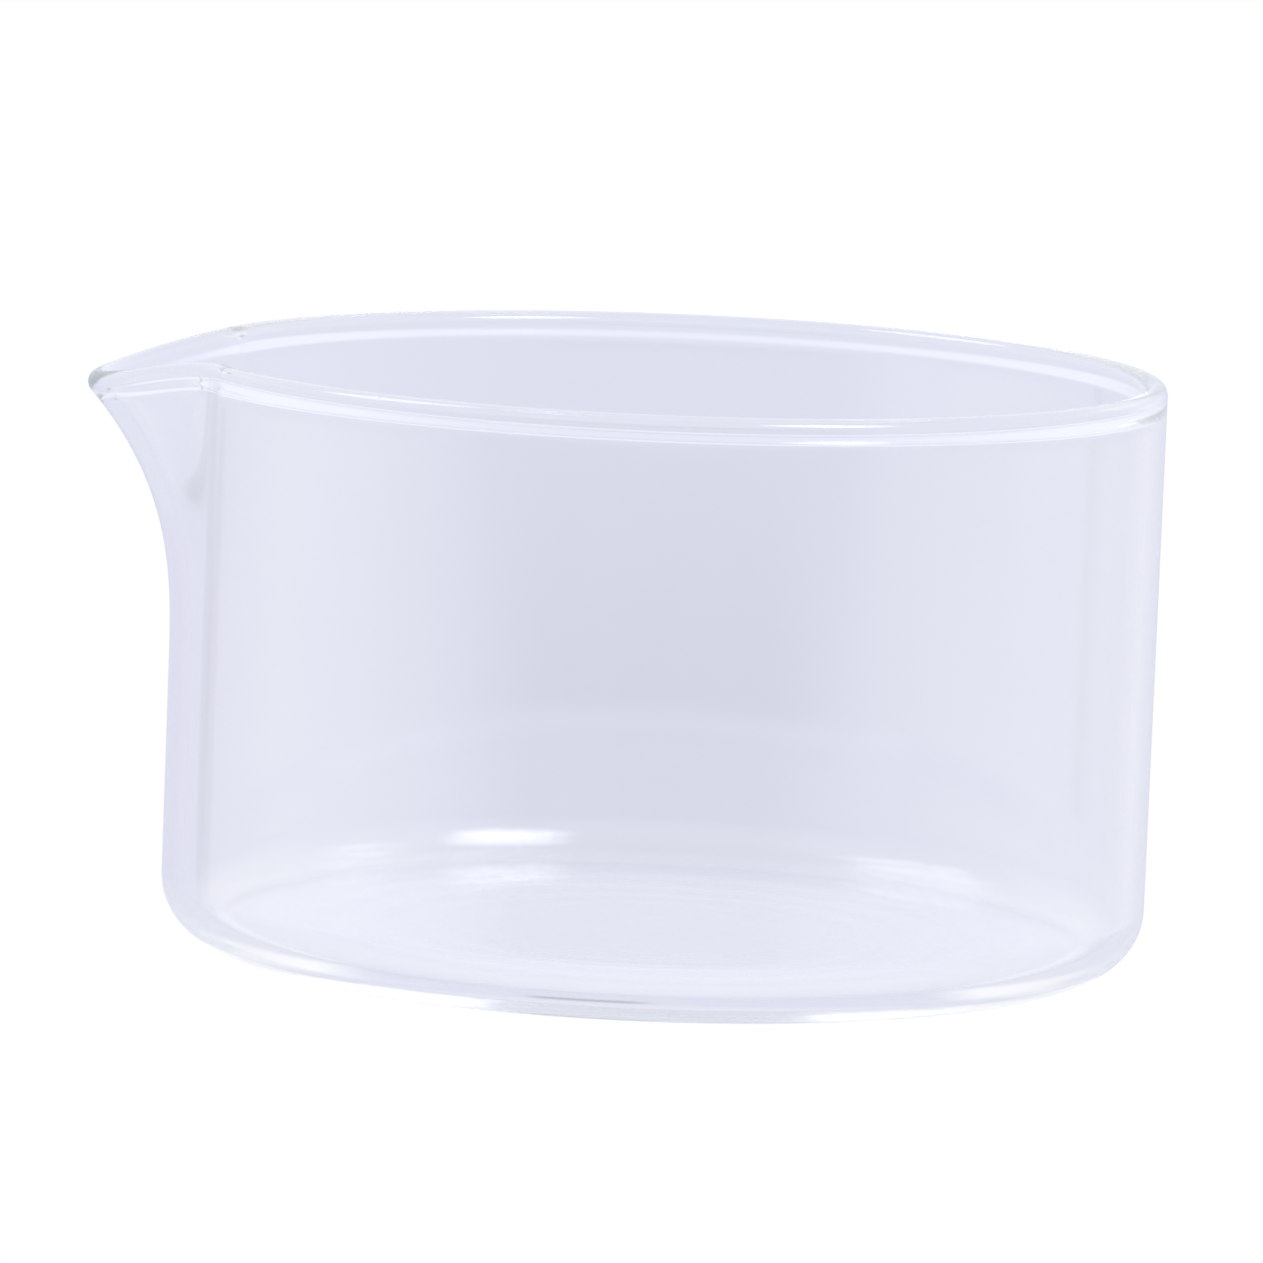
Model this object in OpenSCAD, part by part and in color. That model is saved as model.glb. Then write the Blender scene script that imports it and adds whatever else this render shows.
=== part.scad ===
// Low-form laboratory dish of borosilicate glass with one pouring spout.
// One continuous wall of glass: a flat base, a straight round wall, a fire-polished rim,
// and a spout that is drawn out of the hot rim.
// The origin is the centre of the base's underside, +Z is up, and the spout points along -X.

/* [Dish] */
// Outside diameter of the wall
dish_d = 95; // [75:1:150]
// Height from the bench to the top of the rim
dish_h = 57; // [45:1:100]
// Thickness of the wall
wall_t = 1.9; // [1.2:0.1:2.2]
// Thickness of the base
base_t = 2.2; // [1.4:0.1:4]
// Outside radius of the corner between the wall and the base
corner_r = 6; // [4.5:0.5:12]

/* [Rim] */
// Thickness of the fire-polished bead round the top of the wall
rim_t = 2.3; // [1.9:0.1:4]
// Height over which the bead thins down to the wall
rim_blend_h = 3; // [2.5:0.5:8]

/* [Spout] */
// How far the lip of the spout stands out past the wall
spout_reach = 8.4; // [4:0.2:14]
// How far the lip of the spout droops below the rim
spout_droop = 3.6; // [0:0.2:8]
// Width between the spout's shoulders, where it leaves the round of the wall
spout_w = 38; // [24:1:60]
// Height over which the wall flares out into the spout
spout_flare_h = 30; // [20:1:32]

/* [Hidden] */
$fn = 180;

glass_tint = [0.86, 0.87, 0.94, 0.45];

outer_r = dish_d / 2;
// The inside corner follows the outside one at the mean of the two glass thicknesses
inner_corner_r = corner_r - (wall_t + base_t) / 2;
// Level of the centre of the rim's round top
rim_z = dish_h - rim_t / 2;
// Level at which the bead starts to swell out of the plain wall
blend_z = dish_h - rim_blend_h;
// Level at which the wall starts to flare out into the spout
flare_z = dish_h - spout_flare_h;
// Angle from the middle of the spout to either shoulder, seen from the axis
shoulder_a = asin(spout_w / dish_d);
// How late the flare comes: 1 is a straight slope, and more bends it out nearer the lip
flare_power = 2.7;
// The spout runs on into the round wall by root_l at its shoulders and its foot. It is thinner
// than the wall by seam on each face, so that it enters the wall inside the wall's own faces.
root_l = 0.5;
seam = 0.01;

// Steps that the spout's surface is divided into: across it, up its plain wall, up its bead
// and round the top of its lip
across_steps = 40;
wall_steps = 16;
bead_steps = 2;
lip_steps = 8;

// ---- Plain body: the outline of the glass on one side of the axis, turned round the axis ----

// Rectangle with its lower right corner rounded
module corner_block(w, h, r) {
    square([w - r, h]);
    translate([w - r, r]) square([r, h - r]);
    translate([w - r, r]) intersection() {
        circle(r);
        translate([0, -r]) square(r);
    }
}

// Inward swelling of the wall, with the half-round top that flame-polishing leaves
module rim_section() {
    polygon([
        [outer_r - wall_t, blend_z],
        [outer_r, blend_z],
        [outer_r, rim_z],
        [outer_r - rim_t, rim_z]
    ]);
    translate([outer_r - rim_t / 2, rim_z]) intersection() {
        circle(d = rim_t);
        translate([-rim_t / 2, 0]) square([rim_t, rim_t / 2]);
    }
}

module glass_section() {
    difference() {
        corner_block(outer_r, blend_z, corner_r);
        translate([0, base_t]) corner_block(outer_r - wall_t, dish_h, inner_corner_r);
    }
    rim_section();
}

// Part of the round wall that the spout replaces
module spout_sector() {
    far = dish_d;
    translate([0, 0, flare_z]) linear_extrude(dish_h)
        polygon([
            [0, 0],
            [-far * cos(shoulder_a), far * sin(shoulder_a)],
            [-far * cos(shoulder_a), -far * sin(shoulder_a)]
        ]);
}

module plain_body() {
    difference() {
        rotate_extrude() glass_section();
        spout_sector();
    }
}

// ---- Spout: the same wall, pulled outwards and down between its two shoulders ----
// a is the angle from the middle of the spout, and u runs from 0 at the foot of the flare
// to 1 at the centre of the lip's round top.

// Angle at which the spout ends, inside the round wall
end_a = shoulder_a + root_l / outer_r * 180 / PI;
// Its foot, as a value of u
foot_u = -root_l / (rim_z - flare_z);
// Foot of the bead, as a value of u
bead_u = (blend_z - flare_z) / (rim_z - flare_z);
// Radius of the round top of the lip
lip_r = rim_t / 2 - seam;

// Share of the full pull at an angle: 1 in the middle, 0 at the shoulders, and level at both
function pull(a) = (1 + cos(min(180, abs(180 * a / shoulder_a)))) / 2;
// Its slope, per radian
function pull_slope(a) = abs(a) < shoulder_a ? -90 / shoulder_a * sin(180 * a / shoulder_a) : 0;
// Share of the full pull at a height
function flare(u) = pow(max(0, u), flare_power);

// Radius and level of the outside surface
function outside_r(a, u) = outer_r - seam + spout_reach * pull(a) * flare(u);
function rise(a) = rim_z - flare_z - spout_droop * pull(a);
function outside_z(a, u) = flare_z + u * rise(a);

// Directions in space at an angle: outwards from the axis, and sideways round it
function outwards(a) = [-cos(a), sin(a), 0];
function sideways(a) = [sin(a), cos(a), 0];
function unit(v) = v / norm(v);

function outside_point(a, u) = outside_r(a, u) * outwards(a) + [0, 0, outside_z(a, u)];

// How fast the outside surface leans out as it rises
function lean(a, u) = spout_reach * pull(a) * flare_power * pow(max(0, u), flare_power - 1);

// Direction up the surface
function upwards(a, u) = unit(lean(a, u) * outwards(a) + [0, 0, rise(a)]);

// Direction straight out of the surface
function normal(a, u) =
    let (
        r = outside_r(a, u),
        r_slope = spout_reach * pull_slope(a) * flare(u),
        z_slope = -u * spout_droop * pull_slope(a)
    )
    unit(
        r * rise(a) * outwards(a)
        + (z_slope * lean(a, u) - r_slope * rise(a)) * sideways(a)
        - [0, 0, r * lean(a, u)]
    );

// Thickness of the glass, which swells from the plain wall to the lip's bead
function thickness(u) =
    wall_t - 2 * seam + (rim_t - wall_t) * max(0, (u - bead_u) / (1 - bead_u));

levels = [
    for (i = [0 : wall_steps]) foot_u + (bead_u - foot_u) * i / wall_steps,
    for (i = [1 : bead_steps]) bead_u + (1 - bead_u) * i / bead_steps
];

function outside_points(a) = [for (u = levels) outside_point(a, u)];

function inside_points(a) = [
    for (i = [len(levels) - 1 : -1 : 0])
        outside_point(a, levels[i]) - thickness(levels[i]) * normal(a, levels[i])
];

function lip_points(a) =
    let (centre = outside_point(a, 1) - lip_r * normal(a, 1))
    [
        for (i = [1 : lip_steps - 1])
            let (turn = 180 * i / lip_steps)
            centre + lip_r * (cos(turn) * normal(a, 1) + sin(turn) * upwards(a, 1))
    ];

// Outline of the glass at one angle: up the outside, over the lip and down the inside
function outline(a) = concat(outside_points(a), lip_points(a), inside_points(a));

module spout() {
    outlines = [for (i = [0 : across_steps]) outline(end_a * (2 * i / across_steps - 1))];
    n = len(outlines[0]);
    skin = [
        for (i = [0 : across_steps - 1], j = [0 : n - 1])
            let (
                k = (j + 1) % n,
                p = i * n + j,
                q = i * n + k
            )
            each [[p, q + n, q], [p, p + n, q + n]]
    ];
    // Each end is closed by strips that run straight across the glass
    end = [
        for (j = [0 : floor(n / 2) - 1])
            each j + 1 < n - 2 - j
                ? [[j, n - 2 - j, n - 1 - j], [j, j + 1, n - 2 - j]]
                : [[j, n - 2 - j, n - 1 - j]]
    ];
    last = across_steps * n;
    last_end = [for (t = end) [last + t[0], last + t[2], last + t[1]]];
    polyhedron(
        points = [for (o = outlines) each o],
        faces = concat(skin, end, last_end)
    );
}

module dish() {
    color(glass_tint) {
        plain_body();
        spout();
    }
}

dish();
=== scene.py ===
"""Crystallising dish of clear borosilicate glass: one closed glass body on a pale floor."""

import math

import bmesh
import bpy
from mathutils import Matrix, Vector

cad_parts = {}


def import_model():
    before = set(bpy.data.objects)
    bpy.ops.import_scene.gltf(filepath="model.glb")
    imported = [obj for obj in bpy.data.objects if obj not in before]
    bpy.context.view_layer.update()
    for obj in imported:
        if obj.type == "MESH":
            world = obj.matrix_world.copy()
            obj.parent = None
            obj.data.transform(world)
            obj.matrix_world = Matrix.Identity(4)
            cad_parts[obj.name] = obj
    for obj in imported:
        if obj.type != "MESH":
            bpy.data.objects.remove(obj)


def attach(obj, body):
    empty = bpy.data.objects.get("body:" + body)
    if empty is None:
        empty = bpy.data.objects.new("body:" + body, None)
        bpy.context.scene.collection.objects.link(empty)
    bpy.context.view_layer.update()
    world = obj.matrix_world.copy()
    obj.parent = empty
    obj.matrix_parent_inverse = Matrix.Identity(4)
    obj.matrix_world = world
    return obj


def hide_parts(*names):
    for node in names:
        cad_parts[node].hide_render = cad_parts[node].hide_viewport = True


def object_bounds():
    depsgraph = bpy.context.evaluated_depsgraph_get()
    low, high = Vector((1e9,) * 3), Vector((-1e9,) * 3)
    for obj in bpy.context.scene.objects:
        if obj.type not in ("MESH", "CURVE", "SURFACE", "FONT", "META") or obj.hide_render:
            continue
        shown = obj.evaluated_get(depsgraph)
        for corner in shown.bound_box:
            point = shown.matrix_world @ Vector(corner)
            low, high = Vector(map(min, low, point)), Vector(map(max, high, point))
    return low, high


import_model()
cad_low, cad_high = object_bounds()

MM = 0.001

# ---- Driving dimensions, as in the CAD source ----
SKIN = 0.012 * MM  # how far the glass stays inside the CAD's round wall
OUTER_R = cad_high.x - SKIN
DISH_H = cad_high.z
WALL_T = 1.9 * MM
BASE_T = 2.2 * MM
CORNER_R = 6 * MM
RIM_T = 2.3 * MM
RIM_BLEND_H = 3 * MM
SPOUT_REACH = 8.4 * MM
SPOUT_DROOP = 3.6 * MM
SPOUT_W = 38 * MM
SPOUT_FLARE_H = 30 * MM
FLARE_POWER = 2.7

# ---- Faint rings in the inside of the base: their depth, their spacing, and the radii between
# which they show, with the width over which they fade out at either end ----
RIPPLE_H = 0.03 * MM
RIPPLE_PITCH = 5.4 * MM
RIPPLE_FROM = 14 * MM
RIPPLE_TO = 40 * MM
RIPPLE_FADE = 8 * MM

# ---- Levels and angles that follow from them ----
INNER_CORNER_R = CORNER_R - (WALL_T + BASE_T) / 2
RIM_Z = DISH_H - RIM_T / 2
BLEND_Z = DISH_H - RIM_BLEND_H
FLARE_Z = DISH_H - SPOUT_FLARE_H
SHOULDER_A = math.asin(SPOUT_W / 2 / OUTER_R)
BEAD_U = (BLEND_Z - FLARE_Z) / (RIM_Z - FLARE_Z)

# ---- How finely the glass is divided ----
TURN_STEPS = 720
WALL_STEPS = 8
FLARE_STEPS = 28
BEAD_STEPS = 8
LIP_STEPS = 22
CORNER_STEPS = 22
UNDER_STEPS = 4
FLOOR_STEPS = 80


def smooth(x):
    """Smooth step from 0 to 1."""
    x = min(1.0, max(0.0, x))
    return x * x * (3 - 2 * x)


def floor_ripple(r):
    """Faint rings that moulding leaves in the inside of the base."""
    fade = smooth((r - RIPPLE_FROM) / RIPPLE_FADE) * smooth((RIPPLE_TO - r) / RIPPLE_FADE)
    return -RIPPLE_H * fade * (1 - math.cos(math.tau * r / RIPPLE_PITCH)) / 2


# ---- Spout: the pull on the wall, by the angle a from the middle of the spout ----


def pull(a):
    """Share of the full pull: 1 in the middle of the spout, 0 from its shoulders on."""
    if abs(a) >= SHOULDER_A:
        return 0.0
    return (1 + math.cos(math.pi * a / SHOULDER_A)) / 2


def pull_slope(a):
    """Slope of the pull, per radian."""
    if abs(a) >= SHOULDER_A:
        return 0.0
    return -math.pi / (2 * SHOULDER_A) * math.sin(math.pi * a / SHOULDER_A)


def outwards(a):
    return Vector((-math.cos(a), math.sin(a), 0))


def sideways(a):
    return Vector((math.sin(a), math.cos(a), 0))


class Meridian:
    """The glass's outline at one angle, as points in space."""

    def __init__(self, a):
        self.a = a
        self.out = outwards(a)
        self.side = sideways(a)
        self.pull = pull(a)
        self.slope = pull_slope(a)
        self.rise = RIM_Z - FLARE_Z - SPOUT_DROOP * self.pull

    def at(self, r, z):
        """Point at this angle, by its distance from the axis and its height."""
        return self.out * r + Vector((0, 0, z))

    def outside(self, u):
        """Point on the outside of the flared wall: u is 0 at its foot and 1 at the lip."""
        r = OUTER_R + SPOUT_REACH * self.pull * max(0.0, u) ** FLARE_POWER
        return self.at(r, FLARE_Z + u * self.rise)

    def lean(self, u):
        """How fast the outside surface leans out as it rises."""
        return SPOUT_REACH * self.pull * FLARE_POWER * max(0.0, u) ** (FLARE_POWER - 1)

    def normal(self, u):
        """Direction straight out of the outside surface."""
        r = OUTER_R + SPOUT_REACH * self.pull * max(0.0, u) ** FLARE_POWER
        r_slope = SPOUT_REACH * self.slope * max(0.0, u) ** FLARE_POWER
        z_slope = -u * SPOUT_DROOP * self.slope
        n = self.out * (r * self.rise)
        n += self.side * (z_slope * self.lean(u) - r_slope * self.rise)
        n -= Vector((0, 0, r * self.lean(u)))
        return n.normalized()

    def upwards(self, u):
        """Direction up the outside surface."""
        return (self.out * self.lean(u) + Vector((0, 0, self.rise))).normalized()

    def inside(self, u):
        """Point on the inside, across the glass from the outside point."""
        swell = max(0.0, (u - BEAD_U) / (1 - BEAD_U))
        t = WALL_T + (RIM_T - WALL_T) * smooth(swell)
        return self.outside(u) - self.normal(u) * t

    def lip(self):
        """The round top of the lip, from the outside over to the inside."""
        n, up = self.normal(1), self.upwards(1)
        centre = self.outside(1) - n * (RIM_T / 2)
        for i in range(1, LIP_STEPS):
            turn = math.pi * i / LIP_STEPS
            yield centre + (n * math.cos(turn) + up * math.sin(turn)) * (RIM_T / 2)

    def points(self):
        """Outline from near the middle of the underside, outwards, up, over and back in."""
        line = []
        foot_r = OUTER_R - CORNER_R
        for i in range(1, UNDER_STEPS):
            line.append(self.at(foot_r * i / UNDER_STEPS, 0))
        for i in range(CORNER_STEPS + 1):
            t = math.pi / 2 * i / CORNER_STEPS
            r = foot_r + CORNER_R * math.sin(t)
            line.append(self.at(r, CORNER_R * (1 - math.cos(t))))
        for i in range(1, WALL_STEPS):
            line.append(self.at(OUTER_R, CORNER_R + (FLARE_Z - CORNER_R) * i / WALL_STEPS))
        us = [BEAD_U * i / FLARE_STEPS for i in range(FLARE_STEPS)]
        us += [BEAD_U + (1 - BEAD_U) * i / BEAD_STEPS for i in range(BEAD_STEPS + 1)]
        line += [self.outside(u) for u in us]
        line += list(self.lip())
        line += [self.inside(u) for u in reversed(us)]
        inner_r = OUTER_R - WALL_T
        low = BASE_T + INNER_CORNER_R
        for i in range(WALL_STEPS - 1, 0, -1):
            line.append(self.at(inner_r, low + (FLARE_Z - low) * i / WALL_STEPS))
        foot_r = inner_r - INNER_CORNER_R
        for i in range(CORNER_STEPS, -1, -1):
            t = math.pi / 2 * i / CORNER_STEPS
            r = foot_r + INNER_CORNER_R * math.sin(t)
            line.append(self.at(r, BASE_T + INNER_CORNER_R * (1 - math.cos(t))))
        for i in range(FLOOR_STEPS - 1, 0, -1):
            r = foot_r * i / FLOOR_STEPS
            line.append(self.at(r, BASE_T + floor_ripple(r)))
        return line


def glass_mesh():
    """One closed skin: the outline at each angle, joined to the next one round the axis."""
    bm = bmesh.new()
    rings = []
    for i in range(TURN_STEPS):
        a = math.tau * (i + 0.5) / TURN_STEPS - math.pi
        rings.append([bm.verts.new(p) for p in Meridian(a).points()])
    n = len(rings[0])
    under = bm.verts.new((0, 0, 0))
    floor_mid = bm.verts.new((0, 0, BASE_T))
    for i, ring in enumerate(rings):
        nxt = rings[(i + 1) % TURN_STEPS]
        bm.faces.new((under, ring[0], nxt[0]))
        for j in range(n - 1):
            bm.faces.new((ring[j], ring[j + 1], nxt[j + 1]))
            bm.faces.new((ring[j], nxt[j + 1], nxt[j]))
        bm.faces.new((ring[-1], floor_mid, nxt[-1]))
    bmesh.ops.recalc_face_normals(bm, faces=bm.faces)
    mesh = bpy.data.meshes.new("dish_glass")
    bm.to_mesh(mesh)
    bm.free()
    mesh.shade_smooth()
    return mesh


# ---- Glass ----
GLASS_IOR = 1.473
GLASS_ROUGHNESS = 0.05
ABSORB_COLOUR = (0.90, 0.965, 0.96)
ABSORB_DENSITY = 2.0
# Faint unevenness: noise cells per metre, stretched upwards, and what they do to colour and surface
UNEVEN_SCALE = 90
UNEVEN_STRETCH = (1, 1, 0.35)
UNEVEN_H = 0.012 * MM
UNEVEN_TINT = ((0, (0.985, 0.985, 0.99)), (1, (1, 1, 1)))

# ---- Studio light, as the glass sees it ----
# Azimuth 0 is behind the camera, positive towards the dish's right; elevation is above level.
BACKDROP = (0.758, 0.773, 0.900)
SOFTBOX = (1.10, 1.12, 1.04)
AZIMUTH_LIGHT = (
    (-180, BACKDROP),
    (-155, (0.74, 0.74, 0.88)),
    (-146, (0.78, 0.78, 0.90)),
    (-134, (0.76, 0.76, 0.88)),
    (-126, (0.82, 0.82, 0.88)),
    (-112, (0.95, 0.95, 0.96)),
    (-100, SOFTBOX),
    (-74, SOFTBOX),
    (-56, (0.85, 0.86, 0.82)),
    (-44, (0.50, 0.50, 0.52)),
    (-34, (0.12, 0.12, 0.14)),
    (-28, (0.00, 0.00, 0.01)),
    (24, (0.00, 0.00, 0.01)),
    (34, (0.26, 0.26, 0.29)),
    (50, (0.55, 0.55, 0.60)),
    (86, (0.85, 0.85, 0.88)),
    (98, (1.0, 1.02, 1.02)),
    (112, (1.0, 1.02, 1.02)),
    (130, (0.88, 0.90, 0.94)),
    (150, (0.85, 0.86, 0.94)),
    (170, BACKDROP),
)
FRONT_FILL = (0.42, 0.43, 0.45)
LOW_SKY = (0.90, 0.92, 1.04)
TOP_LIGHT = (1.10, 1.10, 1.12)
ZENITH = (0.74, 0.76, 0.84)
SIDE_LIGHT = (0.80, 0.81, 0.90)
UNDER_LIGHT = (0.765, 0.785, 0.895)
# Elevations, in degrees, over which one layer of the light gives way to the one above it
UNDER_TO_RING = (-14, -10)
RING_TO_FILLED = (-8.6, -5.8)
FILLED_TO_SIDE = (-5.6, -4.6)
SIDE_TO_SKY = (0, 4.5)
SKY_TO_TOP = (6.5, 22)
TOP_TO_ZENITH = (45, 65)
# Small lamps and a stand, in degrees: azimuth, elevation, how far from their middle they start to
# fade and how far they reach, and their strength
LAMPS = (
    (48, 49.5, 3, 16, 9.0),
    (-108, 54, 8.4, 15.6, 4.5),
    (-132.5, -7.6, 1.2, 3.2, 0.42),
)

# ---- Floor, as the glass sees it: a lit ring under the front of its foot ----
FLOOR_HALF = 6.0  # half the side of the square floor, in metres
FLOOR_Z = -0.2 * MM
FOOT_SIDE = (1.02, 1.02, 1.04)
FOOT_FRONT = (0.74, 0.76, 0.88)
FOOT_SHADE = (0.50, 0.49, 0.54)
# Distances from the axis over which the ring comes in and goes out, and its shaded part goes out
FOOT_IN = (41.8 * MM, 42.6 * MM)
FOOT_OUT = (44.3 * MM, 45.3 * MM)
SHADE_OUT = (42.5 * MM, 43.1 * MM)
# Distance in front of the axis over which the ring comes in
FOOT_START = (2 * MM, 12 * MM)
# Distance to either side over which the ring brightens
FOOT_TURN = (26 * MM, 33 * MM)
# Places along X over which the shaded part comes in and goes out
SHADE_FROM = (-12.5 * MM, -9.5 * MM)
SHADE_TO = (-2.5 * MM, 1.5 * MM)

# ---- Camera, in degrees and metres ----
CAMERA_ELEVATION = 7.74
CAMERA_ROLL = 2.3
CAMERA_DISTANCE = 0.95
CAMERA_LENS = 280.8
# The middle of the picture lies this far left of the dish's middle, and above it
AIM_LEFT = 2.95 * MM
AIM_UP = 2.36 * MM

# Times that light may pass through or off the glass, which its rim needs
BOUNCES = 1024


class Nodes:
    """Adds nodes to a tree and links them."""

    def __init__(self, owner):
        owner.use_nodes = True
        self.tree = owner.node_tree
        self.tree.nodes.clear()

    def add(self, kind, values=None, **settings):
        """New node: a value that is a socket is linked, and any other is set."""
        node = self.tree.nodes.new("ShaderNode" + kind)
        for name, value in settings.items():
            setattr(node, name, value)
        for name, value in (values or {}).items():
            if isinstance(value, bpy.types.NodeSocket):
                self.tree.links.new(value, node.inputs[name])
            else:
                node.inputs[name].default_value = value
        return node

    def ramp(self, factor, stops):
        """Colour ramp through stops, each a place from 0 to 1 and its colour."""
        node = self.add("ValToRGB", {"Fac": factor})
        elements = node.color_ramp.elements
        while len(elements) < len(stops):
            elements.new(0.5)
        for element, (place, colour) in zip(elements, stops):
            element.position = place
        for element, (place, colour) in zip(elements, stops):
            element.color = (*colour, 1)
        return node.outputs["Color"]


def glass_material():
    """Clear glass with a very faint, streaky unevenness in its colour and its surface."""
    mat = bpy.data.materials.new("clear_glass")
    nodes = Nodes(mat)
    coord = nodes.add("TexCoord").outputs["Object"]
    stretched = nodes.add("Mapping", {"Vector": coord, "Scale": UNEVEN_STRETCH}).outputs["Vector"]
    noise = nodes.add("TexNoise", {"Vector": stretched, "Scale": UNEVEN_SCALE, "Detail": 1})
    uneven = noise.outputs["Fac"]
    bump = nodes.add("Bump", {"Strength": 1.0, "Distance": UNEVEN_H, "Height": uneven})
    glass = nodes.add("BsdfPrincipled", {
        "Base Color": nodes.ramp(uneven, UNEVEN_TINT),
        "Normal": bump.outputs["Normal"],
        "Roughness": GLASS_ROUGHNESS,
        "IOR": GLASS_IOR,
        "Transmission Weight": 1.0,
    })
    absorb = nodes.add("VolumeAbsorption", {"Color": (*ABSORB_COLOUR, 1), "Density": ABSORB_DENSITY})
    nodes.add("OutputMaterial", {"Surface": glass.outputs["BSDF"], "Volume": absorb.outputs["Volume"]})
    return mat


def azimuth_colour(nodes, vector):
    """Colour of the light by compass direction, going once round the dish."""
    turn = nodes.add("TexGradient", {"Vector": vector}, gradient_type="RADIAL")
    # Azimuth 0 lies a quarter of the way round the gradient
    stops = sorted(((0.25 + az / 360) % 1.0, col) for az, col in AZIMUTH_LIGHT)
    if stops[0][0] > 0:
        stops.insert(0, (0.0, stops[0][1]))
    stops.append((1.0, stops[0][1]))
    return nodes.ramp(turn.outputs["Fac"], stops)


def blend(nodes, factor, low, high, mode="MIX"):
    """Blend of two colours, each a socket or a tuple."""
    node = nodes.add("Mix", data_type="RGBA", blend_type=mode)
    # Sockets 6 and 7 are the Mix node's two colours
    pairs = ((node.inputs["Factor"], factor), (node.inputs[6], low), (node.inputs[7], high))
    for socket, value in pairs:
        if isinstance(value, bpy.types.NodeSocket):
            nodes.tree.links.new(value, socket)
        elif isinstance(value, tuple):
            socket.default_value = (*value, 1)
        else:
            socket.default_value = value
    return node.outputs[2]


def step(nodes, value, low, high):
    """Smooth step from 0 at low to 1 at high."""
    return nodes.add("MapRange", {"Value": value, "From Min": low, "From Max": high},
                     interpolation_type="SMOOTHSTEP").outputs["Result"]


def band(nodes, height, low, high):
    """0 below the elevation low, 1 above the elevation high, in degrees."""
    low, high = (math.sin(math.radians(v)) for v in (low, high))
    return step(nodes, height, low, high)


def lamp(nodes, direction, azimuth, elevation, inner, outer):
    """1 within inner degrees of a direction, 0 beyond outer degrees."""
    az, el, inner, outer = (math.radians(v) for v in (azimuth, elevation, inner, outer))
    aim = (math.sin(az) * math.cos(el), -math.cos(az) * math.cos(el), math.sin(el))
    near = nodes.add("VectorMath", {0: direction, 1: aim}, operation="DOT_PRODUCT")
    return step(nodes, near.outputs["Value"], math.cos(outer), math.cos(inner))


def world():
    """Studio light in layers by elevation. The camera itself sees plain white."""
    w = bpy.data.worlds.new("studio")
    bpy.context.scene.world = w
    nodes = Nodes(w)
    coord = nodes.add("TexCoord").outputs["Generated"]
    height = nodes.add("SeparateXYZ", {"Vector": coord}).outputs["Z"]
    ring = azimuth_colour(nodes, coord)
    # The ring of light as it is, with its dark front filled in, filled further as the low sky,
    # and held down for what the walls show from the side
    filled = blend(nodes, 1.0, ring, FRONT_FILL, "LIGHTEN")
    sky = blend(nodes, 1.0, filled, LOW_SKY, "LIGHTEN")
    side = blend(nodes, 1.0, filled, SIDE_LIGHT, "DARKEN")
    light = blend(nodes, band(nodes, height, *RING_TO_FILLED), ring, filled)
    light = blend(nodes, band(nodes, height, *FILLED_TO_SIDE), light, side)
    light = blend(nodes, band(nodes, height, *SIDE_TO_SKY), light, sky)
    light = blend(nodes, band(nodes, height, *SKY_TO_TOP), light, TOP_LIGHT)
    light = blend(nodes, band(nodes, height, *TOP_TO_ZENITH), light, ZENITH)
    light = blend(nodes, band(nodes, height, *UNDER_TO_RING), UNDER_LIGHT, light)
    for *place, strength in LAMPS:
        spot = lamp(nodes, coord, *place)
        light = blend(nodes, spot, light, (strength,) * 3)
    lit = nodes.add("Background", {"Color": light}).outputs[0]
    seen = nodes.add("Background", {"Color": (1, 1, 1, 1)}).outputs[0]
    path = nodes.add("LightPath")
    mix = nodes.add("MixShader", {0: path.outputs["Is Camera Ray"], 1: lit, 2: seen})
    nodes.add("OutputWorld", {"Surface": mix.outputs["Shader"]})


def combine(nodes, one, other, operation="MULTIPLY"):
    """Product of two values, or what another operation makes of them."""
    return nodes.add("Math", {0: one, 1: other}, operation=operation).outputs[0]


def foot_light(nodes):
    """The lit ring's light, and where it shows from 0 to 1, from the place on the floor."""
    coord = nodes.add("TexCoord").outputs["Object"]
    away = nodes.add("VectorMath", {0: coord}, operation="LENGTH").outputs["Value"]
    place = nodes.add("SeparateXYZ", {"Vector": coord})
    x, y = place.outputs["X"], place.outputs["Y"]
    across = nodes.add("Math", {0: x}, operation="ABSOLUTE").outputs[0]
    colour = blend(nodes, step(nodes, across, *FOOT_TURN), FOOT_FRONT, FOOT_SIDE)
    shade = combine(nodes, step(nodes, x, *SHADE_FROM), step(nodes, x, *reversed(SHADE_TO)))
    shade = combine(nodes, shade, step(nodes, away, *reversed(SHADE_OUT)))
    ring = combine(nodes, step(nodes, away, *FOOT_IN), step(nodes, away, *FOOT_OUT), "SUBTRACT")
    ring = combine(nodes, ring, step(nodes, y, *(-v for v in FOOT_START)))
    light = nodes.add("Emission", {"Color": blend(nodes, shade, colour, FOOT_SHADE)})
    return light.outputs[0], ring


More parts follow.
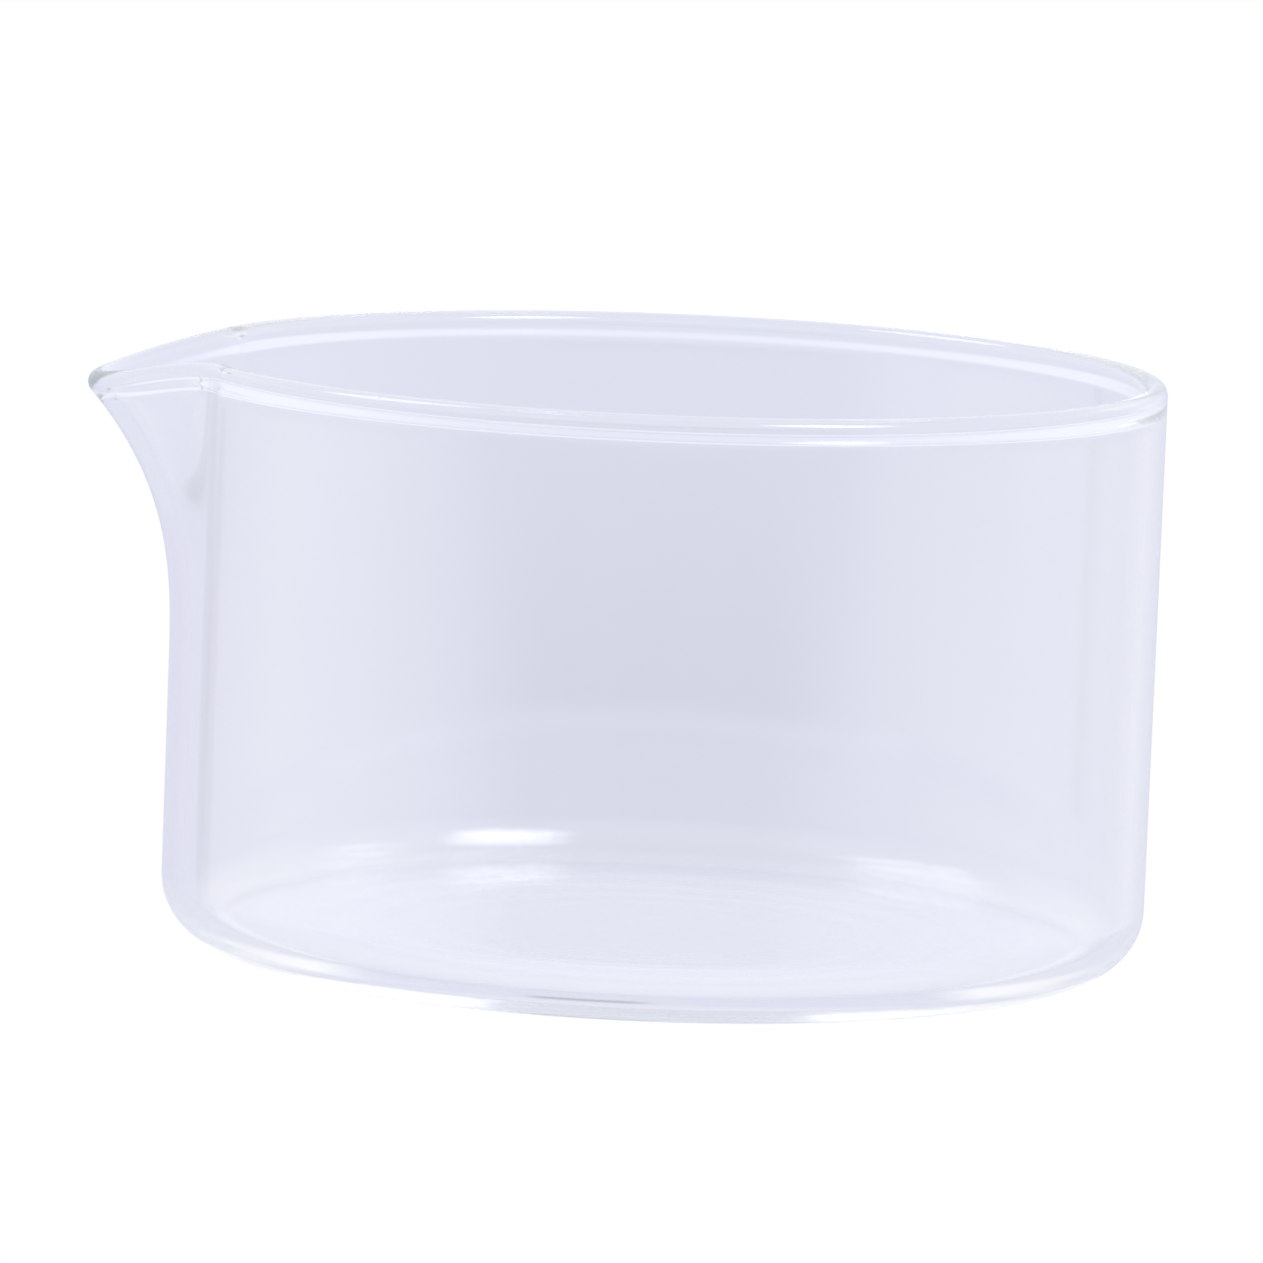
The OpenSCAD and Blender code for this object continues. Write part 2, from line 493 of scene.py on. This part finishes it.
def floor():
    """Pale floor that the camera sees as plain white. The glass sees it only under its foot."""
    bm = bmesh.new()
    corners = ((-1, -1), (1, -1), (1, 1), (-1, 1))
    bm.faces.new([bm.verts.new((x * FLOOR_HALF, y * FLOOR_HALF, FLOOR_Z)) for x, y in corners])
    mesh = bpy.data.meshes.new("floor")
    bm.to_mesh(mesh)
    bm.free()
    obj = bpy.data.objects.new("floor", mesh)
    bpy.context.scene.collection.objects.link(obj)
    mat = bpy.data.materials.new("floor_white")
    nodes = Nodes(mat)
    foot, ring = foot_light(nodes)
    clear = nodes.add("BsdfTransparent").outputs[0]
    lit = nodes.add("MixShader", {0: ring, 1: clear, 2: foot}).outputs[0]
    seen = nodes.add("Emission", {"Color": (1, 1, 1, 1)}).outputs[0]
    path = nodes.add("LightPath")
    mix = nodes.add("MixShader", {0: path.outputs["Is Camera Ray"], 1: lit, 2: seen})
    nodes.add("OutputMaterial", {"Surface": mix.outputs["Shader"]})
    mesh.materials.append(mat)


def camera():
    """Camera in front of the dish, looking a little down on it, and rolled a little."""
    elevation = math.radians(CAMERA_ELEVATION)
    roll = math.radians(CAMERA_ROLL)
    centre = Vector((0, 0, DISH_H / 2))
    back = Vector((0, -math.cos(elevation), math.sin(elevation)))
    up = Vector((0, math.sin(elevation), math.cos(elevation)))
    side = Vector((1, 0, 0))
    cam_right = side * math.cos(roll) + up * math.sin(roll)
    cam_up = side * -math.sin(roll) + up * math.cos(roll)
    place = centre + back * CAMERA_DISTANCE
    target = centre - cam_right * AIM_LEFT + cam_up * AIM_UP
    look = (place - target).normalized()
    right = cam_up.cross(look).normalized()
    true_up = look.cross(right)
    data = bpy.data.cameras.new("camera")
    data.lens = CAMERA_LENS
    data.sensor_width = 36
    data.clip_start, data.clip_end = 0.01, 20
    cam = bpy.data.objects.new("camera", data)
    bpy.context.scene.collection.objects.link(cam)
    turn = Matrix((right, true_up, look)).transposed().to_4x4()
    cam.matrix_world = Matrix.Translation(place) @ turn
    bpy.context.scene.camera = cam


def view_settings():
    """Plain colours, and enough bounces for light that runs along inside the rim."""
    scene = bpy.context.scene
    scene.view_settings.view_transform = "Standard"
    scene.view_settings.look = "None"
    scene.cycles.max_bounces = BOUNCES
    scene.cycles.transmission_bounces = BOUNCES
    scene.cycles.glossy_bounces = BOUNCES
    scene.cycles.caustics_refractive = True
    scene.cycles.caustics_reflective = True
    scene.cycles.use_denoising = True


dish = bpy.data.objects.new("dish_glass", glass_mesh())
bpy.context.scene.collection.objects.link(dish)
dish.data.materials.append(glass_material())
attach(dish, "root")
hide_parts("dish")

world()
floor()
camera()
view_settings()

bpy.context.view_layer.update()
